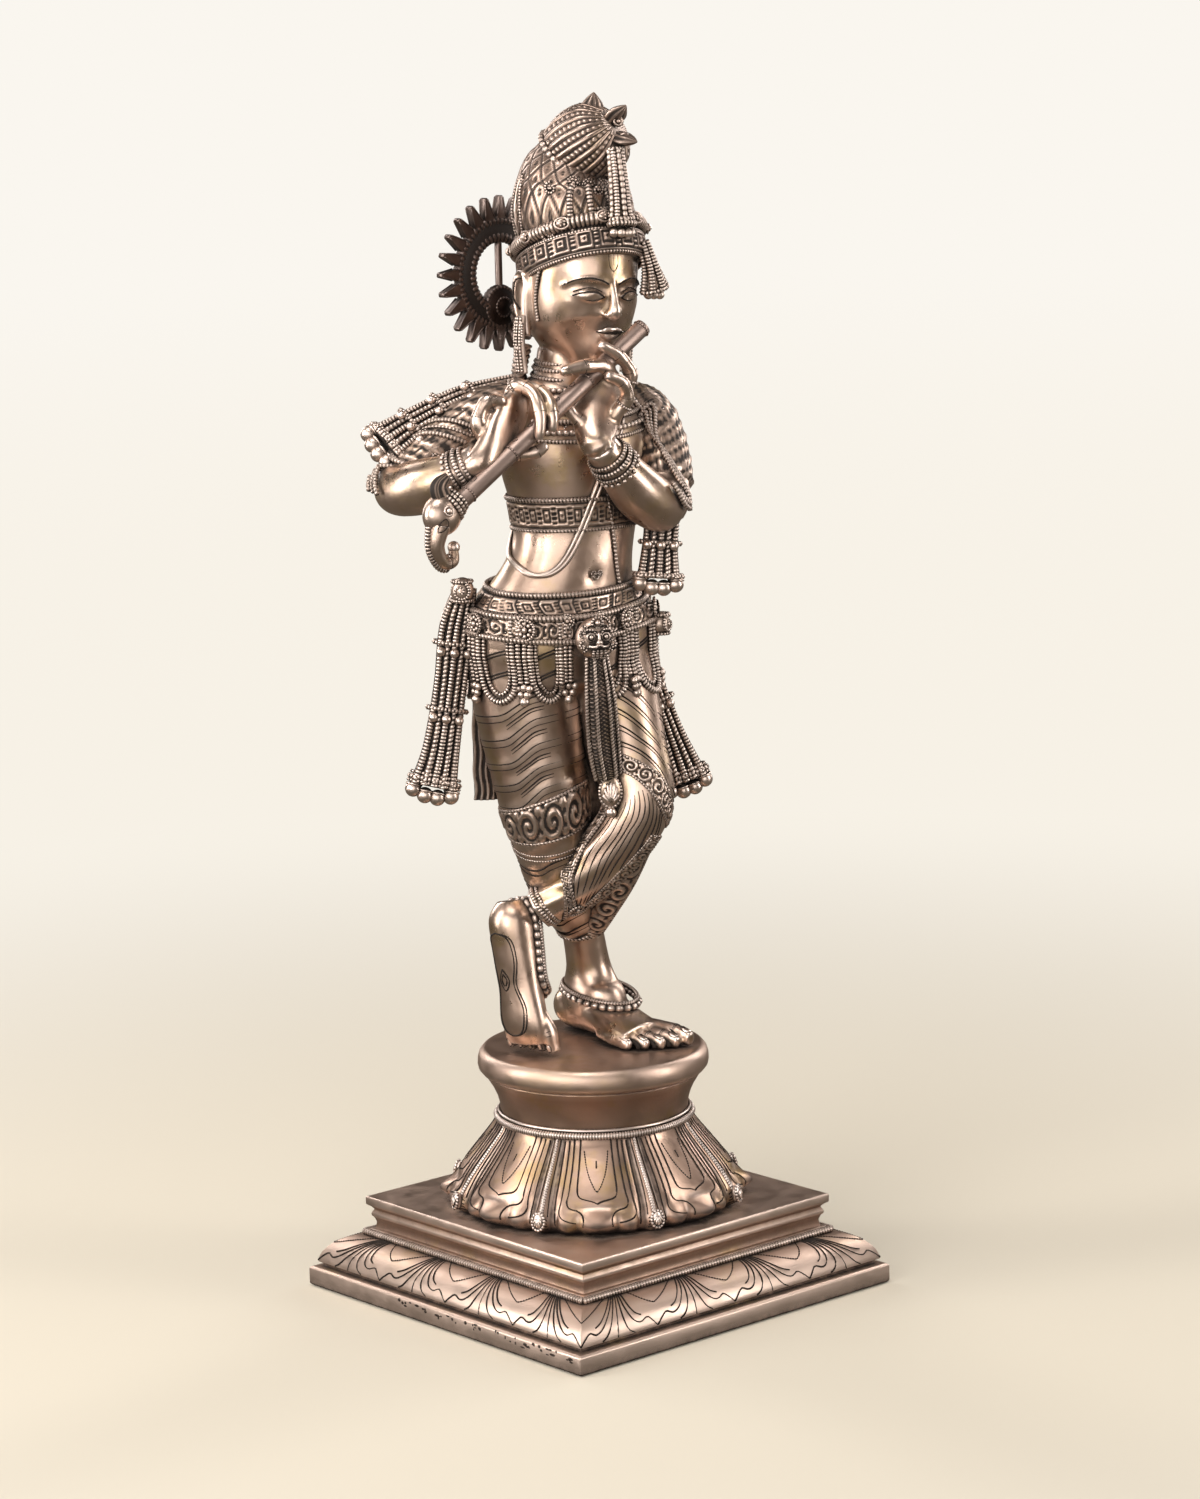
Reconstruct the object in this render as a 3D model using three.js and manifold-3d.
// A cast brass figure of a flute player, standing with crossed legs on a lotus pedestal and a square plinth.
// Millimetres, +Z up. The origin is the middle of the plinth's underside, and the figure faces -Y.

import * as THREE from "three";
import { mergeVertices } from "three/addons/utils/BufferGeometryUtils.js";
import Module from "manifold-3d";

const wasm = await Module();
wasm.setup();

// Driving dimensions of the plinth
const PLINTH_HALF = 97.7; // half of the bottom slab's side
const SLAB_HEIGHT = 9.2;
const SLAB_CORNER = 1.2; // bevel of the upright corners
const GROOVE_DEPTH = 5.2; // the dark groove between the slab and the petal moulding
const GROOVE_HEIGHT = 1.8;
const MOULDING_HALF = 94.6; // half side of the petal moulding at its foot
const MOULDING_TOP_HALF = 78.5;
const MOULDING_HEIGHT = 13.8;
const ROPE_HALF = 78.2; // half side of the rope line above the moulding
const ROPE_HEIGHT = 3;
const NECK_HALF = 74.6;
const NECK_HEIGHT = 10.6;
const TABLE_HALF = 77.8; // half side of the table that the lotus stands on
const TABLE_HEIGHT = 5.1;

// Driving dimensions of the round lotus pedestal
const JOINT = 0.3; // the bed between two castings
const LOTUS_RADIUS = 66; // the bell of the lotus at its foot
const LOTUS_HEIGHT = 40.6;
const PEDESTAL_NECK_RADIUS = 44.2;
const PEDESTAL_NECK_HEIGHT = 22;
const DISC_RADIUS = 54.2; // the disc under the feet, at its widest
const DISC_HEIGHT = 10.8;
const PETALS = 8;
const PETAL_CURL = 10; // how far the petals' curled tips reach beyond the bell
const PETAL_TURN = -41; // degrees from -Y to the first petal, towards the figure's right

// Driving dimensions of the figure
const FIGURE_HEIGHT = 442.6; // from the soles to the tip of the crown's leaf
const GIRDLE_OUT = 6; // how far the hip girdle stands off the skin
const APRON_OUT = 7.5; // and the swags that hang from it
const BAND_OUT = 2.2; // and the belly band and the necklaces
const SWAGS = 8;
const BEAD = 3.8; // radius of the balls that end the tassels
const FINGER = 3.6; // radius of a finger at its root
const FLUTE_RADIUS = 3.9;
const FLUTE_ROOM = 0.3; // the hands stand off the flute by this much
const WHEEL_HOLE = 15.5; // radius of the hole in the toothed ring behind the head
const WHEEL_ROOT = 25.5; // radius at the roots of its teeth
const WHEEL_TIP = 36; // radius at their tips
const WHEEL_TEETH = 24;
const WHEEL_PLATE = 4; // thickness of the toothed plate
const WHEEL_RIM = 6.4; // thickness of the roped rim round the hole
const WHEEL_RIM_WIDE = 5.5;
const WHEEL_BAR = 3.2; // width of the upright bar
const WHEEL_BOSS = 10.5;
const WHEEL_BOSS_DEEP = 7.6;
const WHEEL_TURN = 2; // degrees about Z
const WHEEL_ASIDE = -3.4; // how far the wheel stands to the figure's right, in thousandths of the height
const HEAD_TURN = -11; // degrees about Z
const HEAD_LEAN = 3; // degrees towards the figure's left

const FEET = SLAB_HEIGHT + GROOVE_HEIGHT + MOULDING_HEIGHT + ROPE_HEIGHT + NECK_HEIGHT + TABLE_HEIGHT
  + LOTUS_HEIGHT + PEDESTAL_NECK_HEIGHT + DISC_HEIGHT + 2 * JOINT;
// The figure's pose, proportions and carving are in thousandths of its own height, and its heights
// count from its feet.
const SHARE = FIGURE_HEIGHT / 1000;
const rad = THREE.MathUtils.degToRad;
const vec = (p) => new THREE.Vector3(p[0], p[1], p[2]);
const UP = new THREE.Vector3(0, 0, 1);

// A closed three.js geometry as a manifold solid.
function solid(geometry) {
  const bare = geometry.clone();
  for (const name of Object.keys(bare.attributes)) {
    if (name !== "position") bare.deleteAttribute(name);
  }
  const merged = mergeVertices(bare, 1e-3);
  const index = Array.from(merged.index.array);
  const kept = [];
  for (let i = 0; i < index.length; i += 3) {
    const [a, b, c] = index.slice(i, i + 3);
    if (a !== b && b !== c && c !== a) kept.push(a, b, c);
  }
  const vertProperties = new Float32Array(merged.attributes.position.array);
  return new wasm.Manifold(new wasm.Mesh({ numProp: 3, vertProperties, triVerts: new Uint32Array(kept) }));
}

// A point of the figure in millimetres.
const spot = ([x, y, z]) => [x * SHARE, y * SHARE, FEET + z * SHARE];

// Stations of the figure in millimetres.
const posed = (stations) => stations.map(([x, y, z, ...sizes]) => {
  return [...spot([x, y, z]), ...sizes.map((size) => size * SHARE)];
});

// One solid out of several.
function fuse(solids) {
  return solids.flat(4).reduce((whole, one) => whole.add(one));
}

// A manifold solid as a named mesh with its own material.
function meshOf(name, made, material) {
  const { vertProperties, triVerts } = made.getMesh();
  const geometry = new THREE.BufferGeometry();
  geometry.setAttribute("position", new THREE.BufferAttribute(vertProperties, 3));
  geometry.setIndex(new THREE.BufferAttribute(triVerts, 1));
  geometry.computeVertexNormals();
  const mesh = new THREE.Mesh(geometry, material);
  mesh.name = name;
  return mesh;
}

// A smooth value between the stations of a table. The share runs from 0 to 1 over the whole table.
function between(table, share) {
  const place = Math.min(Math.max(share, 0), 1) * (table.length - 1);
  const i = Math.min(Math.floor(place), table.length - 2);
  const f = place - i;
  const at = (k) => table[Math.min(Math.max(k, 0), table.length - 1)];
  return table[0].map((_, n) => {
    const [a, b, c, d] = [at(i - 1)[n], at(i)[n], at(i + 1)[n], at(i + 2)[n]];
    return b + 0.5 * f * (c - a + f * (2 * a - 5 * b + 4 * c - d + f * (3 * (b - c) + d - a)));
  });
}

// A round form along a smooth line. Each station is [x, y, z, half width, half depth], and side is the
// direction of the half width. A collar is [share of the line, its width as a share, its height].
function limb(stations, { side = [1, 0, 0], around = 8, rows, collars = [] } = {}) {
  const table = stations.map((s) => [s[0], s[1], s[2], s[3], s[4] ?? s[3]]);
  const steps = rows ?? 2 * stations.length - 2;
  const levels = Array.from({ length: steps + 1 }, (_, i) => [i / steps, 0]).filter(([share]) => {
    return collars.every(([at, width]) => Math.abs(share - at) > width);
  });
  for (const [at, width, height] of collars) {
    levels.push([at - width * 0.7, 0], [at - width / 2, height]);
    levels.push([at + width / 2, height], [at + width * 0.7, 0]);
  }
  levels.sort((p, q) => p[0] - q[0]);
  const geometry = new THREE.CylinderGeometry(1, 1, 1, around, levels.length - 1);
  const place = geometry.attributes.position;
  for (let i = 0; i < place.count; i++) {
    const [share, rise] = levels[Math.round((place.getY(i) + 0.5) * (levels.length - 1))];
    const here = between(table, share);
    const along = vec(between(table, share + 0.02)).sub(vec(between(table, share - 0.02))).normalize();
    const wide = vec(side);
    wide.addScaledVector(along, -wide.dot(along)).normalize();
    const deep = wide.clone().cross(along);
    const point = vec(here);
    point.addScaledVector(wide, place.getX(i) * (here[3] + rise));
    point.addScaledVector(deep, place.getZ(i) * (here[4] + rise));
    place.setXYZ(i, point.x, point.y, point.z);
  }
  return solid(geometry);
}

// A limb of the figure, whose stations and collars are shares of its height.
function bodyLimb(stations, { collars = [], ...options } = {}) {
  const raised = collars.map(([at, width, height]) => [at, width, height * SHARE]);
  return limb(posed(stations), { ...options, collars: raised });
}

// A cord of one radius through the points.
function cord(points, radius, { around = 5, rows = points.length * 2 - 2, side = [0.31, 0.22, 0.92] } = {}) {
  return limb(points.map((p) => [p[0], p[1], p[2], radius]), { side, around, rows });
}

// A ball, or an egg if it is given three radii.
function ball(at, radius, around = 6, rows = 4) {
  const radii = Array.isArray(radius) ? radius : [radius, radius, radius];
  const geometry = new THREE.SphereGeometry(1, around, rows).rotateX(Math.PI / 2);
  return solid(geometry.scale(...radii).translate(...at));
}

// An egg of the figure, whose place and radii are shares of its height.
function egg(at, radii, around, rows) {
  return ball(spot(at), radii.map((radius) => radius * SHARE), around, rows);
}

// A form turned about Z from a profile of [radius, z] points.
function turned(profile, sides) {
  const points = profile.map(([r, z]) => new THREE.Vector2(r, z));
  return solid(new THREE.LatheGeometry(points, sides).rotateX(Math.PI / 2));
}

// A square form turned from a profile of [half side, z] points, with its upright corners cut by a bevel.
function squared(profile, bevel) {
  const geometry = new THREE.CylinderGeometry(1, 1, 1, 8, profile.length - 1);
  const place = geometry.attributes.position;
  for (let i = 0; i < place.count; i++) {
    const [half, z] = profile[Math.round((place.getY(i) + 0.5) * (profile.length - 1))];
    const eighth = Math.round(Math.atan2(place.getX(i), place.getZ(i)) / (Math.PI / 4));
    const quarter = (Math.floor(eighth / 2) * Math.PI) / 2;
    const [x, y] = eighth % 2 === 0 ? [half - bevel, -half] : [half, bevel - half];
    const centre = Math.hypot(place.getX(i), place.getZ(i)) < 0.5 ? 0 : 1;
    const [c, t] = [Math.cos(quarter) * centre, Math.sin(quarter) * centre];
    place.setXYZ(i, x * c - y * t, x * t + y * c, z);
  }
  return solid(geometry);
}

// A flat plate cut from an outline in its own plane, placed by a matrix.
function plate(outline, thick, matrix) {
  const shape = new THREE.Shape(outline.map(([x, y]) => new THREE.Vector2(x, y)));
  const geometry = new THREE.ExtrudeGeometry(shape, { depth: thick, bevelEnabled: false, curveSegments: 4 });
  return solid(geometry.translate(0, 0, -thick / 2).applyMatrix4(matrix));
}

// The square plinth: bottom slab, dark groove, petal moulding, rope line, neck and table.
function squarePlinth() {
  const foot = SLAB_HEIGHT + GROOVE_HEIGHT;
  const rope = foot + MOULDING_HEIGHT;
  const neck = rope + ROPE_HEIGHT;
  const table = neck + NECK_HEIGHT;
  const top = table + TABLE_HEIGHT;
  const swell = (share, z) => [
    MOULDING_HALF + (MOULDING_TOP_HALF - MOULDING_HALF) * share,
    foot + MOULDING_HEIGHT * z,
  ];
  return squared(
    [
      [PLINTH_HALF - 1.2, 0],
      [PLINTH_HALF, 1.2],
      [PLINTH_HALF, SLAB_HEIGHT - 1.4],
      [PLINTH_HALF - 1.4, SLAB_HEIGHT],
      [PLINTH_HALF - GROOVE_DEPTH, SLAB_HEIGHT + 0.2],
      [PLINTH_HALF - GROOVE_DEPTH, foot],
      swell(0, 0.03),
      swell(0.05, 0.3),
      swell(0.2, 0.56),
      swell(0.4, 0.76),
      swell(0.62, 0.9),
      swell(0.85, 0.99),
      swell(1, 1),
      [ROPE_HALF - 0.6, rope + 0.05],
      [ROPE_HALF, rope + ROPE_HEIGHT / 2],
      [ROPE_HALF - 0.6, neck - 0.3],
      [NECK_HALF, neck],
      [NECK_HALF, neck + NECK_HEIGHT * 0.5],
      [NECK_HALF + 1.2, neck + NECK_HEIGHT * 0.6],
      [NECK_HALF + 0.4, table - 0.4],
      [TABLE_HALF - 1.5, table],
      [TABLE_HALF, table + 1.5],
      [TABLE_HALF, top - 1],
      [TABLE_HALF - 0.8, top],
    ],
    SLAB_CORNER,
  );
}

// One petal of the lotus, which runs down the bell and curls up at its tip.
function petal(base, angle) {
  const shape = [
    [LOTUS_RADIUS * 0.727, 0.837, 7, 3],
    [LOTUS_RADIUS * 0.833, 0.628, 12, 4.5],
    [LOTUS_RADIUS * 0.932, 0.369, 17, 5],
    [LOTUS_RADIUS * 1.008, 0.16, 17, 4.6],
    [LOTUS_RADIUS + PETAL_CURL * 0.6, 0.064, 10.5, 2.6],
    [LOTUS_RADIUS + PETAL_CURL * 0.88, 0.103, 7, 2],
    [LOTUS_RADIUS + PETAL_CURL, 0.172, 2.5, 1.2],
  ];
  const size = LOTUS_RADIUS / 66;
  const stations = shape.map(([r, rise, wide, deep]) => {
    const height = base + LOTUS_HEIGHT * rise;
    return [r * Math.sin(angle), -r * Math.cos(angle), height, wide * size, deep * size];
  });
  return limb(stations, { side: [Math.cos(angle), Math.sin(angle), 0], around: 6, rows: 5 });
}

// The round pedestal: a bell of lotus petals, a rope, a waisted neck and the disc under the feet.
function lotusPedestal(base) {
  const neck = base + LOTUS_HEIGHT;
  const disc = neck + PEDESTAL_NECK_HEIGHT;
  const top = disc + DISC_HEIGHT;
  const core = turned(
    [
      [0, base],
      [LOTUS_RADIUS, base],
      [LOTUS_RADIUS + 1, base + LOTUS_HEIGHT * 0.1],
      [LOTUS_RADIUS * 0.818, base + LOTUS_HEIGHT * 0.59],
      [PEDESTAL_NECK_RADIUS, neck - 1.5],
      [PEDESTAL_NECK_RADIUS + 2.6, neck],
      [PEDESTAL_NECK_RADIUS + 0.4, neck + 2.6],
      [PEDESTAL_NECK_RADIUS + 0.6, neck + PEDESTAL_NECK_HEIGHT * 0.364],
      [DISC_RADIUS - 3.8, disc - PEDESTAL_NECK_HEIGHT * 0.145],
      [DISC_RADIUS - 1.4, disc - 0.4],
      [DISC_RADIUS, disc + 3],
      [DISC_RADIUS - 0.5, disc + 8],
      [DISC_RADIUS - 2.6, top],
      [0, top],
    ],
    24,
  );
  const petals = Array.from({ length: PETALS }, (_, i) => {
    return petal(base, rad(PETAL_TURN + (i * 360) / PETALS));
  });
  const [wide, high] = [2 * (LOTUS_RADIUS + 2 * PETAL_CURL), LOTUS_HEIGHT];
  const floor = new THREE.BoxGeometry(wide, wide, high).translate(0, 0, base - high / 2);
  return fuse([core, petals]).subtract(solid(floor));
}

// Sections of the body from the hips to the neck: [height, middle x, middle y, half width, half depth,
// turn in degrees].
const BODY = [
  [358.1, -18.1, 13.6, 54.2, 42.9, -8],
  [394.3, -20.3, 15.8, 88.1, 66.7, -8],
  [430.4, -21.5, 18.1, 98.3, 74.6, -8],
  [462, -23.7, 19.2, 96, 72.3, -8],
  [493.7, -20.3, 11.3, 81.3, 62.1, -9],
  [520.8, -14.7, 3.4, 70, 55.4, -10],
  [547.9, -9, 0, 66.7, 52, -11],
  [579.5, -6.8, 0, 71.2, 53.1, -12],
  [611.2, -6.8, 1.1, 79.1, 55.4, -13],
  [642.8, -6.8, 3.4, 83.6, 54.2, -13],
  [669.9, -7.5, 6.8, 81.3, 48.6, -13],
  [688, -7.9, 11.3, 63.3, 38.4, -13],
  [706.1, -9, 12.4, 33.9, 30.5, -12],
  [742.2, -9, 6.8, 28.9, 28.9, -11],
];

// The body's section at a height.
function bodyAt(z) {
  const last = BODY.length - 1;
  const above = BODY.findIndex((_, k) => k === last || BODY[k + 1][0] >= z);
  const i = Math.max(0, Math.min(last - 1, above));
  return between(BODY, (i + (z - BODY[i][0]) / (BODY[i + 1][0] - BODY[i][0])) / last);
}

// A point on the body's skin at a height. The angle is in degrees from the body's front towards the
// figure's left, and out is the stand-off from the skin in millimetres.
function skin(angle, z, out = 0) {
  const [, x, y, wide, deep, turn] = bodyAt(z);
  const across = (wide * SHARE + out) * Math.sin(rad(angle));
  const front = -(deep * SHARE + out) * Math.cos(rad(angle));
  const [c, s] = [Math.cos(rad(turn)), Math.sin(rad(turn))];
  const middle = spot([x, y, z]);
  return [middle[0] + across * c - front * s, middle[1] + across * s + front * c, middle[2]];
}

// A solid of rings that follow the body's skin. Each level gives a ring's height at an angle and its
// stand-off from the skin.
function wrapped(levels, around) {
  const geometry = new THREE.CylinderGeometry(1, 1, 1, around, levels.length - 1);
  const place = geometry.attributes.position;
  for (let i = 0; i < place.count; i++) {
    const [height, out] = levels[Math.round((place.getY(i) + 0.5) * (levels.length - 1))];
    const [x, z] = [place.getX(i), place.getZ(i)];
    if (Math.hypot(x, z) < 0.5) {
      const middle = (height(0) + height(180)) / 2;
      const [, cx, cy] = bodyAt(middle);
      place.setXYZ(i, ...spot([cx, cy, middle]));
    } else {
      const angle = THREE.MathUtils.radToDeg(Math.atan2(x, z));
      place.setXYZ(i, ...skin(angle, height(angle), out));
    }
  }
  return solid(geometry);
}

// A height that dips to the figure's front.
const dip = (base, depth) => (angle) => base - depth * Math.max(0, Math.cos(rad(angle))) ** 2;

// The body with its hip girdle, belly band and necklaces, which stand off the skin.
function torso() {
  return wrapped(
    [
      [dip(367.1, 0), -9 * SHARE],
      [dip(419.1, 13.6), -2.3 * SHARE],
      [dip(421.4, 13.6), GIRDLE_OUT],
      [dip(455.3, 18.1), GIRDLE_OUT - 1],
      [dip(459.8, 18.1), GIRDLE_OUT - 3],
      [dip(489.2, 22.6), GIRDLE_OUT - 3],
      [dip(493.7, 22.6), 0],
      [dip(518.5, 6.8), 0],
      [dip(542.3, 0), 0],
      [dip(544.5, 0), BAND_OUT],
      [dip(567.1, 0), BAND_OUT],
      [dip(569.4, 0), 0],
      [dip(627, 2.3), 0],
      [dip(656.3, 11.3), 0],
      [dip(660.9, 11.3), BAND_OUT],
      [dip(703.8, 4.5), BAND_OUT],
      [dip(715.1, 4.5), BAND_OUT],
      [dip(718.5, 4.5), 0],
      [dip(744.5, 0), 0],
    ],
    16,
  );
}

// The apron of beaded swags that hangs from the girdle, with a scalloped lower edge.
function apron() {
  const scallop = (base) => (angle) => base - 11.3 * Math.abs(Math.cos((rad(angle - 6) * SWAGS) / 2)) + 6.8;
  return wrapped(
    [
      [dip(412.3, 0), -22.6 * SHARE],
      [scallop(367.1), -9 * SHARE],
      [scallop(364.9), APRON_OUT],
      [dip(425.9, 13.6), GIRDLE_OUT - 2],
      [dip(434.9, 0), -22.6 * SHARE],
    ],
    24,
  );
}

// The legs under the cloth: the right one carries the figure and the left one crosses before it.
const RIGHT_LEG = [
  [-61, 27.1, 423.6, 56.5, 58.7],
  [-59.9, 23.7, 376.2, 54.2, 56.5],
  [-55.4, 16.9, 317.4, 49.7, 52],
  [-49.7, 10.8, 265.5, 45.2, 46.3],
  [-37.3, 14.7, 222.5, 39.8, 40.7],
  [-14.7, 24.9, 172.8, 35.2, 36.2],
  [13.6, 35, 129.9, 26.7, 28.5],
  [22.1, 37.3, 114.1, 21.2, 23],
  [32.8, 39.5, 68.9, 19.9, 22.1],
  [38.4, 39.5, 37.3, 22.1, 26.2],
  [36.2, 33.9, 14.7, 25.8, 33.9],
];
const LEFT_LEG = [
  [21.5, 2.3, 416.9, 56.5, 58.7],
  [21.5, -18.1, 367.1, 48.6, 52],
  [19.2, -42.9, 317.4, 40.7, 44.1],
  [17.2, -64.4, 276.8, 34.3, 36.2],
  [6.8, -59.9, 245.1, 32.5, 33],
  [-9, -38.4, 211.3, 30.7, 30.7],
  [-26, -15.8, 181.9, 26.7, 26.7],
  [-36.2, -3.4, 170.6, 21.2, 21.2],
  [-53.1, 15.8, 153.6, 20.8, 20.8],
  [-67.8, 33.9, 139, 20.8, 20.8],
];
// The cloth that hangs from the left shin to the right ankle.
const DRAPE = [
  [20.3, -65.5, 236.1, 18.1],
  [14.7, -38.4, 186.4, 19.2],
  [14.7, -6.8, 148, 19.2],
  [19.2, 20.3, 120.9, 18.1],
];

// The flat right foot.
function rightFoot() {
  const sole = bodyLimb(
    [
      [36.2, 81.3, 15.8, 17.2, 12.7],
      [35.7, 65.5, 23.7, 26.2, 23.5],
      [34.3, 31.6, 27.1, 27.1, 27.1],
      [31.6, -9, 18.5, 30.3, 18.5],
      [28.9, -52, 9.9, 35.2, 9.7],
    ],
    { around: 8, rows: 4 },
  );
  const toes = [9.9, 7.7, 7.2, 7, 6.8].map((thick, i) => {
    const [x, reach] = [59.2 - i * 14.9, -89.2 + i * i * 1.24 + i * 3.6];
    const stations = [
      [x - 2.3, reach + 47.4, thick + 1.4, thick],
      [x, reach + 20.3, thick + 0.7, thick],
      [x + 0.7, reach, thick * 0.8, thick * 0.72],
    ];
    return bodyLimb(stations, { around: 5, rows: 2 });
  });
  return [sole, toes];
}

// The left foot stands upright on its toes, with its sole to the figure's right.
function leftFoot() {
  const sole = bodyLimb(
    [
      [-72.3, 44.1, 160.4, 13.6, 13.6],
      [-73.4, 40.7, 142.3, 24.9, 24.9],
      [-73.4, 35, 108.5, 24.9, 23.9],
      [-73.4, 29.4, 70, 25.8, 20.3],
      [-74.6, 22.6, 33.9, 30.3, 19],
      [-72.3, 20.3, 11.3, 28.5, 13.6],
    ],
    { side: [0, 1, 0], around: 8, rows: 5 },
  );
  const toes = [9, 7.2, 6.8, 6.6, 6.3].map((thick, i) => {
    const [x, y] = [-63.3 - i * 3.4, -6.8 + i * 12];
    const stations = [
      [x - 5.6, y + 4.5, 29.4, thick],
      [x - 3.4, y + 1.1, 13.6, thick],
      [x - 0.9, y - 1.4, 3.6, thick * 0.85],
    ];
    return bodyLimb(stations, { side: [0, 1, 0], around: 4, rows: 2 });
  });
  return [sole, toes];
}

// The flute lies from the mouth down to the figure's right.
const FLUTE = [
  [19.2, -82.2, 763],
  [-219.2, -57.6, 597.6],
];
const flutePoint = (share) => spot(FLUTE[0].map((v, i) => v + (FLUTE[1][i] - v) * share));

function arms() {
  const right = bodyLimb(
    [
      [-63.3, 13.6, 678.9, 29.4, 31.6],
      [-113, 28.2, 668.8, 30.5, 31.6],
      [-169.5, 44.1, 631.5, 29.4, 30.5],
      [-202.2, 47.4, 610, 27.1, 27.1],
      [-203.3, 15.8, 612.3, 27.1, 27.1],
      [-190.9, -22.6, 624.7, 23.5, 22.6],
      [-175.1, -49.7, 641.7, 19, 16.3],
    ],
    {
      side: [0.1, 0.1, 1],
      rows: 7,
      collars: [[0.29, 0.05, 5], [0.46, 0.045, 5.9], [0.94, 0.05, 4.5]],
    },
  );
  const left = bodyLimb(
    [
      [49.7, -2.3, 665.4, 27.1, 29.4],
      [74.6, -18.1, 658.6, 29.4, 31.6],
      [70, -47.4, 617.9, 28, 29.4],
      [47.4, -74.6, 577.3, 26.7, 27.1],
      [11.3, -83.1, 592, 26.7, 26.7],
      [-20.3, -87, 619.1, 23.5, 23],
      [-50.8, -89.5, 648.4, 18.5, 17.2],
    ],
    {
      side: [0.3, -0.95, 0.1],
      rows: 7,
      collars: [[0.3, 0.05, 5], [0.44, 0.045, 5.9], [0.94, 0.05, 4.5]],
    },
  );
  return [right, left];
}

// A finger is a cord that thins towards its tip.
function finger(points, root = FINGER) {
  const stations = points.map((p, i) => [...spot(p), root * (1 - (0.3 * i) / (points.length - 1))]);
  return limb(stations, { side: [0.3, 0.25, 0.92], around: 5, rows: 3 });
}

function hands() {
  return [
    bodyLimb(
      [
        [-176.2, -50.8, 639.4, 16.9, 14.7],
        [-160.4, -50.8, 651.8, 21.5, 13.6],
        [-142.3, -46.3, 667.6, 26, 11.7],
        [-122, -41.8, 688, 23.7, 10.4],
        [-110.7, -39.5, 699.3, 16.9, 8.1],
      ],
      { side: [-0.75, -0.25, 0.6], around: 6, rows: 4 },
    ),
    finger([
      [-158.2, -48.6, 650.7],
      [-169.5, -41.8, 678.9],
      [-159.3, -44.1, 699.3],
      [-142.3, -52, 698.1],
    ]),
    finger([
      [-126.5, -39.5, 692.5],
      [-123.1, -45.2, 711.7],
      [-118.6, -67.8, 704.9],
      [-120.9, -80.2, 682.3],
      [-123.4, -80.2, 659.7],
    ]),
    finger([
      [-110.7, -39.5, 692.5],
      [-103.9, -46.3, 708.3],
      [-101.7, -68.9, 700.4],
      [-105.1, -81.3, 681.2],
      [-106.6, -80.9, 666.5],
    ]),
    finger([
      [-140.1, -44.1, 654.1],
      [-132.4, -56.5, 645.1],
      [-117.5, -68.9, 646.4],
      [-107.5, -73.7, 654.1],
    ]),
    bodyLimb(
      [
        [-53.1, -89.2, 649.6, 18.1, 14.9],
        [-47.4, -80.2, 664.3, 22.6, 14],
        [-36.2, -71.2, 682.3, 27.1, 12.7],
        [-26, -70, 701.5, 26, 11.3],
        [-20.3, -72.3, 715.1, 18.1, 9],
      ],
      { side: [0.7, -0.55, -0.3], around: 6, rows: 4 },
    ),
    finger([[-20.3, -76.8, 712.8], [-33.9, -81.3, 725.5], [-58.7, -80.2, 728.6], [-87, -73.7, 724.6]]),
    finger(
      [
        [-10.2, -81.3, 694.8],
        [-3.8, -87, 716.2],
        [-18.1, -87.2, 735.4],
        [-39.8, -80, 749.9],
      ],
      FINGER * 1.15,
    ),
    finger([
      [-29.4, -85.9, 674.4],
      [-19.2, -97.2, 692.5],
      [-27.1, -100.5, 710.6],
      [-46.3, -96.2, 719.6],
    ]),
    finger([[-45.2, -88.1, 663.1], [-61, -74.6, 672.2], [-70, -66.7, 685.7], [-70, -62.4, 701.5]]),
  ];
}

// The head is turned and leans a little. Its own frame has x to the figure's left and -y to the front.
const HEAD = [2.3, -1.1, 794.2];

// Places a point of the head's own frame.
function onHead([x, y, z]) {
  const point = new THREE.Vector3(x, y, z).multiplyScalar(SHARE);
  point.applyAxisAngle(new THREE.Vector3(0, 1, 0), rad(HEAD_LEAN)).applyAxisAngle(UP, rad(HEAD_TURN));
  return point.add(vec(spot(HEAD))).toArray();
}

// The direction from the head's right to its left.
const acrossHead = () => vec(onHead([1, 0, 0])).sub(vec(onHead([0, 0, 0]))).toArray();

// A limb whose stations are in the head's own frame.
function headLimb(stations, options) {
  const placed = stations.map(([x, y, z, a, b]) => [...onHead([x, y, z]), a * SHARE, b * SHARE]);
  return limb(placed, { side: acrossHead(), ...options });
}

// The bun of hair that the toothed wheel is pinned to, in the head's own frame.
const BUN = [0, 83.4, -22.6];
const BUN_SIZE = [24.9, 27.1, 24.9];

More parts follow.
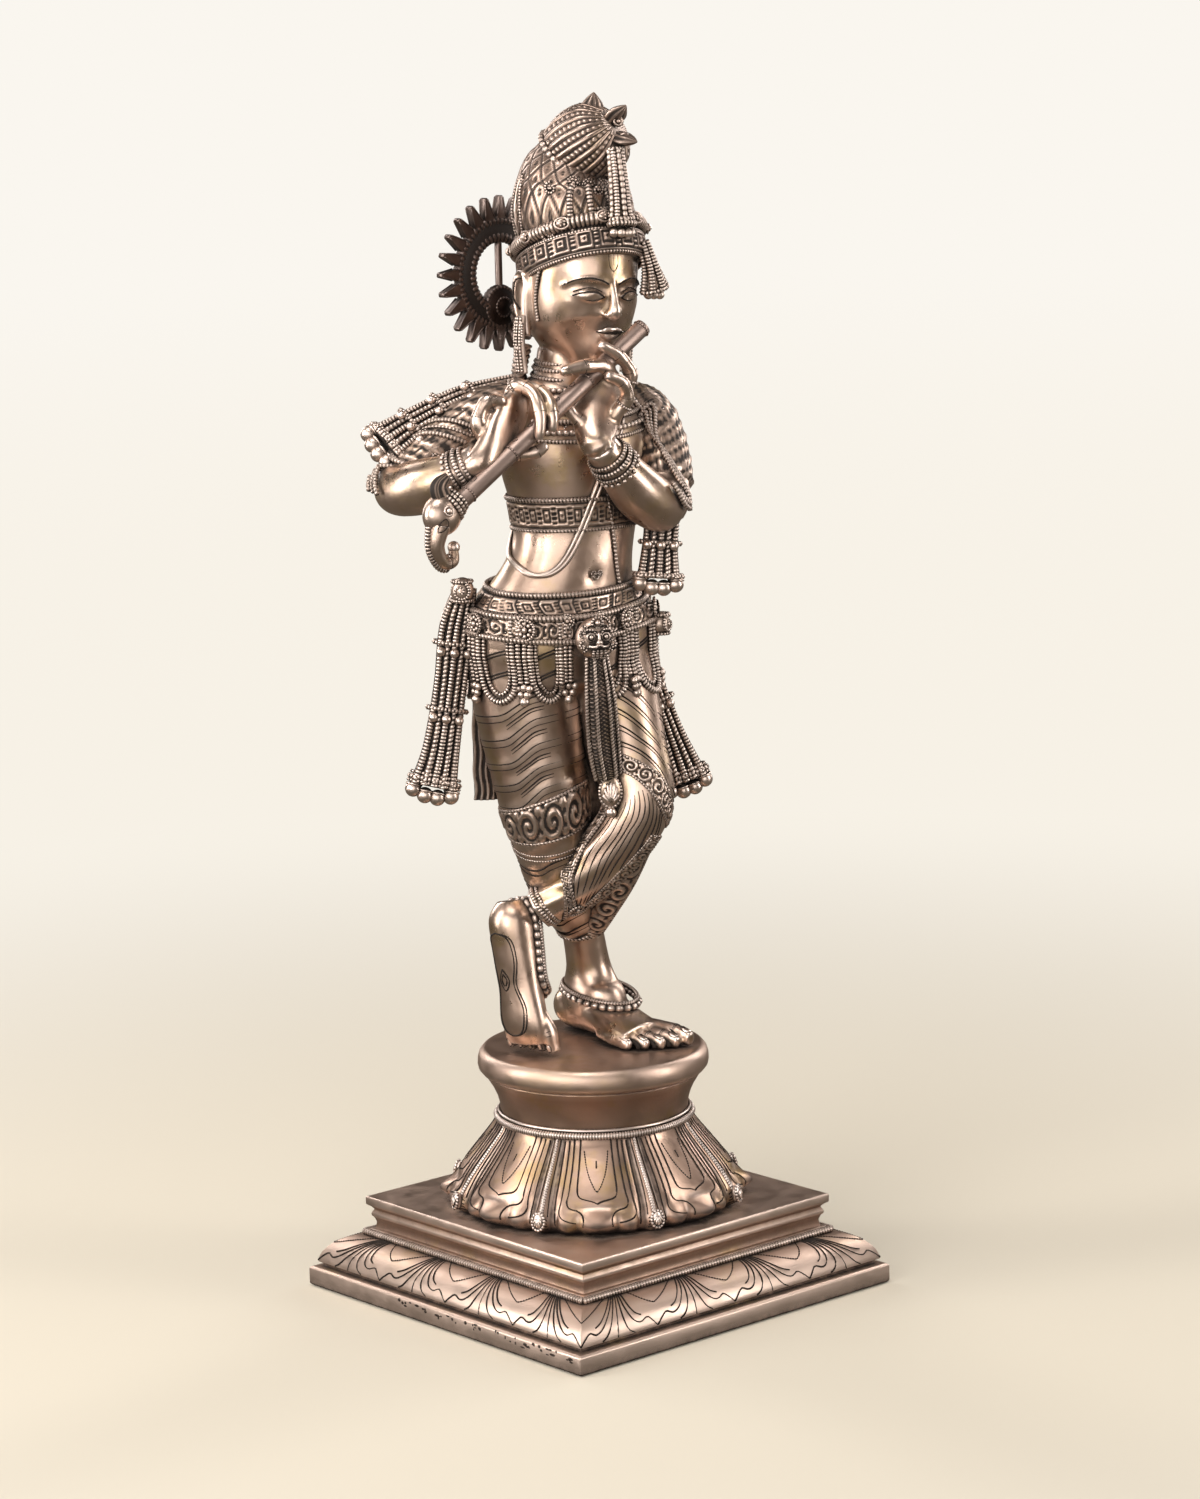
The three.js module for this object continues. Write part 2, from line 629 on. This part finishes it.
function head() {
  const face = headLimb(
    [
      [0, -24.9, -63.3, 15.8, 18.1],
      [0, -21.5, -55.4, 33.9, 38.4],
      [0, -11.3, -33.9, 49.7, 57.6],
      [0, -4.5, -9, 56.5, 66.7],
      [0, -2.3, 22.6, 57.4, 69.6],
      [0, 0, 58.7, 55.4, 67.8],
    ],
    { around: 11, rows: 6 },
  );
  const nose = headLimb(
    [
      [0, -70, 15.8, 4.1, 3.6],
      [0, -75.9, -3.4, 5.2, 5.4],
      [0, -76.8, -13.6, 9, 6.8],
      [0, -70, -18.5, 5.4, 3.6],
    ],
    { around: 5, rows: 3 },
  );
  const bun = ball(onHead(BUN), BUN_SIZE.map((size) => size * SHARE), 8, 5);
  const ears = [-1, 1].map((s) =>
    headLimb(
      [
        [s * 57.6, 9, 20.3, 5.4, 10.4],
        [s * 61, 9, -4.5, 6.8, 12.2],
        [s * 58.7, 6.8, -40.7, 5.4, 9.5],
        [s * 55.4, 6.8, -70, 6.8, 8.1],
      ],
      { around: 5, rows: 3 },
    ),
  );
  const locks = [-1, 1].map((s) => {
    const way = [onHead([s * 52, 18.1, -54.2]), skin(s * 118, 699.3, 3), skin(s * 112, 681.2, 4)];
    return cord(way, 10 * SHARE, { rows: 2 });
  });
  return [face, nose, bun, ears, locks];
}

// The crown: a brow band and a rope that rise to the front, a netted cone, a ribbed melon that leans
// forward, leaves at its pole, a front pendant and a drop at the figure's left temple.
function crown() {
  const turn = acrossHead();
  const rise = rad(20);
  const hoops = [[-24.9, 55.4], [-22.6, 60.6], [-10.2, 60.6], [-7.7, 64.6], [6.3, 64.6], [9, 59.2]];
  const brow = hoops.map(([along, wide]) => [
    ...onHead([0, along * Math.sin(rise), 54.2 + along * Math.cos(rise)]),
    wide * SHARE,
    (wide + 13.6) * SHARE,
  ]);
  const cone = [
    [-3.4, 2.9, 884.5, 56.5, 65.5],
    [-3.4, 2.9, 910.8, 49.7, 54.2],
    [-1.1, -2.3, 932, 39.5, 41.8],
    [1.8, -7.7, 947.8, 24.9, 24.9],
  ];
  const melon = bodyLimb(
    [
      [-1.1, 2.3, 933.1, 27.1, 27.1],
      [2.3, -9, 945.5, 38.4, 38.4],
      [6.8, -23.7, 956.8, 41.1, 40.7],
      [10.8, -37.3, 965.9, 33.9, 33.9],
      [13.6, -47.4, 972.7, 18.1, 18.1],
    ],
    { side: turn, around: 12, rows: 4 },
  );
  const tips = [[12.9, -26.4, 999.5], [20.3, -62.1, 986.2], [19.9, -77.9, 949.6]];
  const roots = [[7.9, -27.1, 981.7], [13.6, -45.2, 970.4], [13.6, -54.2, 953.5]];
  const leaves = tips.map((tip, i) => {
    const waist = roots[i].map((v, k) => v + (tip[k] - v) * 0.45);
    const stations = [[...roots[i], 7.7, 5.9], [...waist, 9.9, 6.3], [...tip, 1.6, 1.4]];
    return bodyLimb(stations, { side: turn, around: 5, rows: 2 });
  });
  const pendant = headLimb(
    [
      [4.5, -61, 149.1, 7.7, 5.4],
      [3.4, -71.2, 117.5, 9, 6.8],
      [2.3, -77.9, 90.4, 9.9, 7.7],
      [2.3, -81.3, 74.6, 13.1, 8.6],
    ],
    { around: 5, rows: 3 },
  );
  const drop = headLimb(
    [
      [38.4, -63.3, 56.5, 5.9, 5.4],
      [47.4, -65.5, 29.4, 7.7, 6.8],
      [54.2, -63.3, 6.8, 13.6, 8.6],
    ],
    { around: 5, rows: 2 },
  );
  const balls = [-1, 1].map((i) => ball(onHead([54.2 + i * 6.8, -62.4, 4.5]), BEAD * 0.8, 5, 3));
  const wall = limb([...brow, ...posed(cone)], { side: turn, around: 12, rows: 9 });
  return [wall, melon, leaves, pendant, drop, balls];
}

// A hanging tassel: a flat bundle of strands that widens to a crescent bar, with a row of balls below.
function tassel(shares, side, balls) {
  const stations = posed(shares);
  const end = stations[stations.length - 1];
  const down = vec(end).sub(vec(stations[stations.length - 2])).normalize();
  const across = vec(side).addScaledVector(down, -vec(side).dot(down)).normalize();
  const drops = Array.from({ length: balls }, (_, i) => {
    const share = (2 * i) / (balls - 1) - 1;
    const at = vec(end).addScaledVector(across, share * (end[3] + BEAD * 0.1));
    return ball(at.addScaledVector(down, BEAD * (1 - share * share)).toArray(), BEAD, 5, 3);
  });
  return [limb(stations, { side, around: 6, rows: stations.length - 1 }), drops];
}

// The sashes that hang from the girdle, its clasp and the curled ends at its sides.
function sashes() {
  return [
    tassel(
      [
        [-117.5, 47.4, 498.2, 11.3, 9],
        [-126.5, 53.1, 457.5, 20.3, 10.2],
        [-135.6, 56.5, 394.3, 19.2, 10.2],
        [-149.1, 57.6, 331, 21.5, 10.2],
        [-160.4, 58.7, 292.6, 27.1, 10.2],
      ],
      [0.8, -0.6, 0],
      4,
    ),
    tassel(
      [
        [67.8, 0, 439.4, 11.3, 9],
        [83.6, -11.3, 380.7, 14.7, 9],
        [99.4, -22.6, 322, 18.1, 9],
        [113, -31.6, 272.3, 26, 10.2],
      ],
      [0.8, -0.6, 0],
      4,
    ),
    bodyLimb(
      [
        [-45.2, -67.8, 425.9, 13.6, 9],
        [-40.7, -68.9, 385.2, 19.2, 9],
        [-33.9, -64.4, 335.5, 20.3, 9],
        [-26, -63.3, 290.3, 14.7, 8.1],
        [-20.3, -62.1, 267.7, 4.5, 3.6],
      ],
      { side: [0.9, -0.3, 0], around: 6, rows: 6 },
    ),
    egg([-47.4, -71.2, 448.5], [22.6, 14.7, 22.6], 8, 5),
    egg([-126.5, 42.9, 495.9], [12.4, 12.4, 13.6]),
    egg([63.3, -49.7, 448.5], [11.3, 11.3, 15.8]),
    bodyLimb(
      [
        [-85.9, 54.2, 403.3, 18.1, 6.8],
        [-83.6, 63.3, 326.5, 15.8, 6.8],
        [-81.3, 65.5, 267.7, 15.8, 6.8],
      ],
      { side: [0.8, -0.6, 0], around: 5, rows: 3 },
    ),
  ];
}

// The shawl over the arms, which ends in tassels at the right shoulder and the left elbow.
function shawl() {
  return [
    tassel(
      [
        [-67.8, 18.1, 699.3, 18.1, 11.3],
        [-126.5, 33.9, 688, 21.5, 11.3],
        [-176.2, 49.7, 667.6, 23.7, 11.3],
        [-207.9, 58.7, 649.6, 28.2, 11.3],
      ],
      [0.2, -0.6, -0.7],
      4,
    ),
    tassel(
      [
        [54.2, -67.8, 575, 20.3, 13.6],
        [47.4, -70, 534.3, 20.3, 10.2],
        [42.9, -71.2, 500.5, 24.9, 10.2],
      ],
      [0.8, -0.6, 0],
      4,
    ),
    bodyLimb(
      [
        [79.1, 0, 683.5, 13.6, 9],
        [97.2, -15.8, 647.3, 15.8, 9],
        [92.6, -38.4, 608.9, 15.8, 9],
        [72.3, -65.5, 570.5, 13.6, 9],
      ],
      { side: [0.5, -0.8, 0], around: 5, rows: 4 },
    ),
  ];
}

function figure() {
  return fuse([
    torso(),
    apron(),
    bodyLimb(RIGHT_LEG, { around: 9, rows: 9, collars: [[0.95, 0.03, 5]] }),
    bodyLimb(LEFT_LEG, { around: 9, rows: 7, collars: [[0.86, 0.035, 5.4]] }),
    bodyLimb(DRAPE, { around: 6, rows: 3 }),
    rightFoot(),
    leftFoot(),
    arms(),
    hands(),
    head(),
    crown(),
    sashes(),
    shawl(),
  ]);
}

// The flute with its head end, which is a sea creature with a crest and a curled trunk.
function flute() {
  const ends = [0, 1].map((share) => [...flutePoint(share), FLUTE_RADIUS]);
  return fuse([
    limb(ends, { side: [0, 1, 0], around: 10, rows: 1 }),
    egg([-230.5, -55.4, 588.6], [22.6, 16.9, 21.5], 8, 6),
    bodyLimb(
      [
        [-237.2, -56.5, 577.3, 14.7, 11.3],
        [-242.9, -56.5, 552.4, 10.2, 9],
        [-231.6, -55.4, 533.2, 8.1, 7.2],
        [-215.8, -54.2, 535.5, 6.8, 6.3],
        [-215.8, -54.2, 550.2, 5, 4.5],
      ],
      { side: [0, 1, 0], around: 6, rows: 7 },
    ),
    bodyLimb(
      [
        [-228.2, -56.5, 602.1, 11.3, 6.8],
        [-235, -56.5, 617.9, 9, 5.6],
        [-223.7, -56.5, 629.2, 3.4, 2.3],
      ],
      { side: [1, 0, 0.4] },
    ),
  ]);
}

// The toothed ring behind the head, with an upright bar and a boss that is pinned to the bun of hair.
function haloWheel() {
  const bun = onHead(BUN);
  const middle = [
    WHEEL_ASIDE * SHARE,
    bun[1] + BUN_SIZE[1] * SHARE + JOINT + WHEEL_BOSS_DEEP / 2,
    bun[2] + WHEEL_HOLE + BUN_SIZE[2] * SHARE * 0.18,
  ];
  const place = new THREE.Matrix4().makeRotationZ(rad(WHEEL_TURN));
  place.multiply(new THREE.Matrix4().makeRotationX(Math.PI / 2)).setPosition(...middle);
  const outline = [];
  for (let i = 0; i < WHEEL_TEETH; i++) {
    const pitch = (2 * Math.PI) / WHEEL_TEETH;
    for (const [turn, r] of [[-0.4, WHEEL_ROOT], [-0.16, WHEEL_TIP], [0.16, WHEEL_TIP], [0.4, WHEEL_ROOT]]) {
      const angle = (i + turn) * pitch;
      outline.push([r * Math.cos(angle), r * Math.sin(angle)]);
    }
  }
  const disc = (radius, thick, sides, y) => {
    const geometry = new THREE.CylinderGeometry(radius, radius, thick, sides);
    return solid(geometry.rotateX(Math.PI / 2).translate(0, y, 0).applyMatrix4(place));
  };
  const teeth = plate(outline, WHEEL_PLATE, place).subtract(disc(WHEEL_HOLE + 1, WHEEL_RIM * 3, 16, 0));
  const [wide, half] = [WHEEL_RIM_WIDE, WHEEL_RIM / 2];
  const rim = [[0, -half], [wide, -half], [wide, half], [0, half], [0, -half]];
  const ring = rim.map(([r, z]) => new THREE.Vector2(WHEEL_HOLE + r, z));
  const rope = new THREE.LatheGeometry(ring, 16).rotateX(Math.PI / 2).applyMatrix4(place);
  const bar = new THREE.BoxGeometry(WHEEL_BAR, 2 * WHEEL_HOLE + WHEEL_RIM_WIDE / 2, WHEEL_BAR * 0.75);
  const boss = disc(WHEEL_BOSS, WHEEL_BOSS_DEEP, 10, -WHEEL_HOLE);
  return fuse([teeth, solid(rope), solid(bar.applyMatrix4(place)), boss]);
}

const brass = new THREE.MeshStandardMaterial({ color: 0x9c7a5c, metalness: 1, roughness: 0.35 });
const dull = new THREE.MeshStandardMaterial({ color: 0x7c6250, metalness: 1, roughness: 0.45 });
const statue = new THREE.Group();
statue.name = "flute_player";
const table = SLAB_HEIGHT + GROOVE_HEIGHT + MOULDING_HEIGHT + ROPE_HEIGHT + NECK_HEIGHT + TABLE_HEIGHT;
const room = [-0.05, 0.93].map((share) => [...flutePoint(share), FLUTE_RADIUS + FLUTE_ROOM]);
const rodRoom = limb(room, { side: [0, 1, 0], around: 12, rows: 1 });
statue.add(meshOf("square_plinth", squarePlinth(), brass));
statue.add(meshOf("lotus_pedestal", lotusPedestal(table + JOINT), brass));
statue.add(meshOf("figure", figure().subtract(rodRoom), brass));
statue.add(meshOf("flute", flute(), dull));
statue.add(meshOf("halo_wheel", haloWheel(), dull));

export default statue;
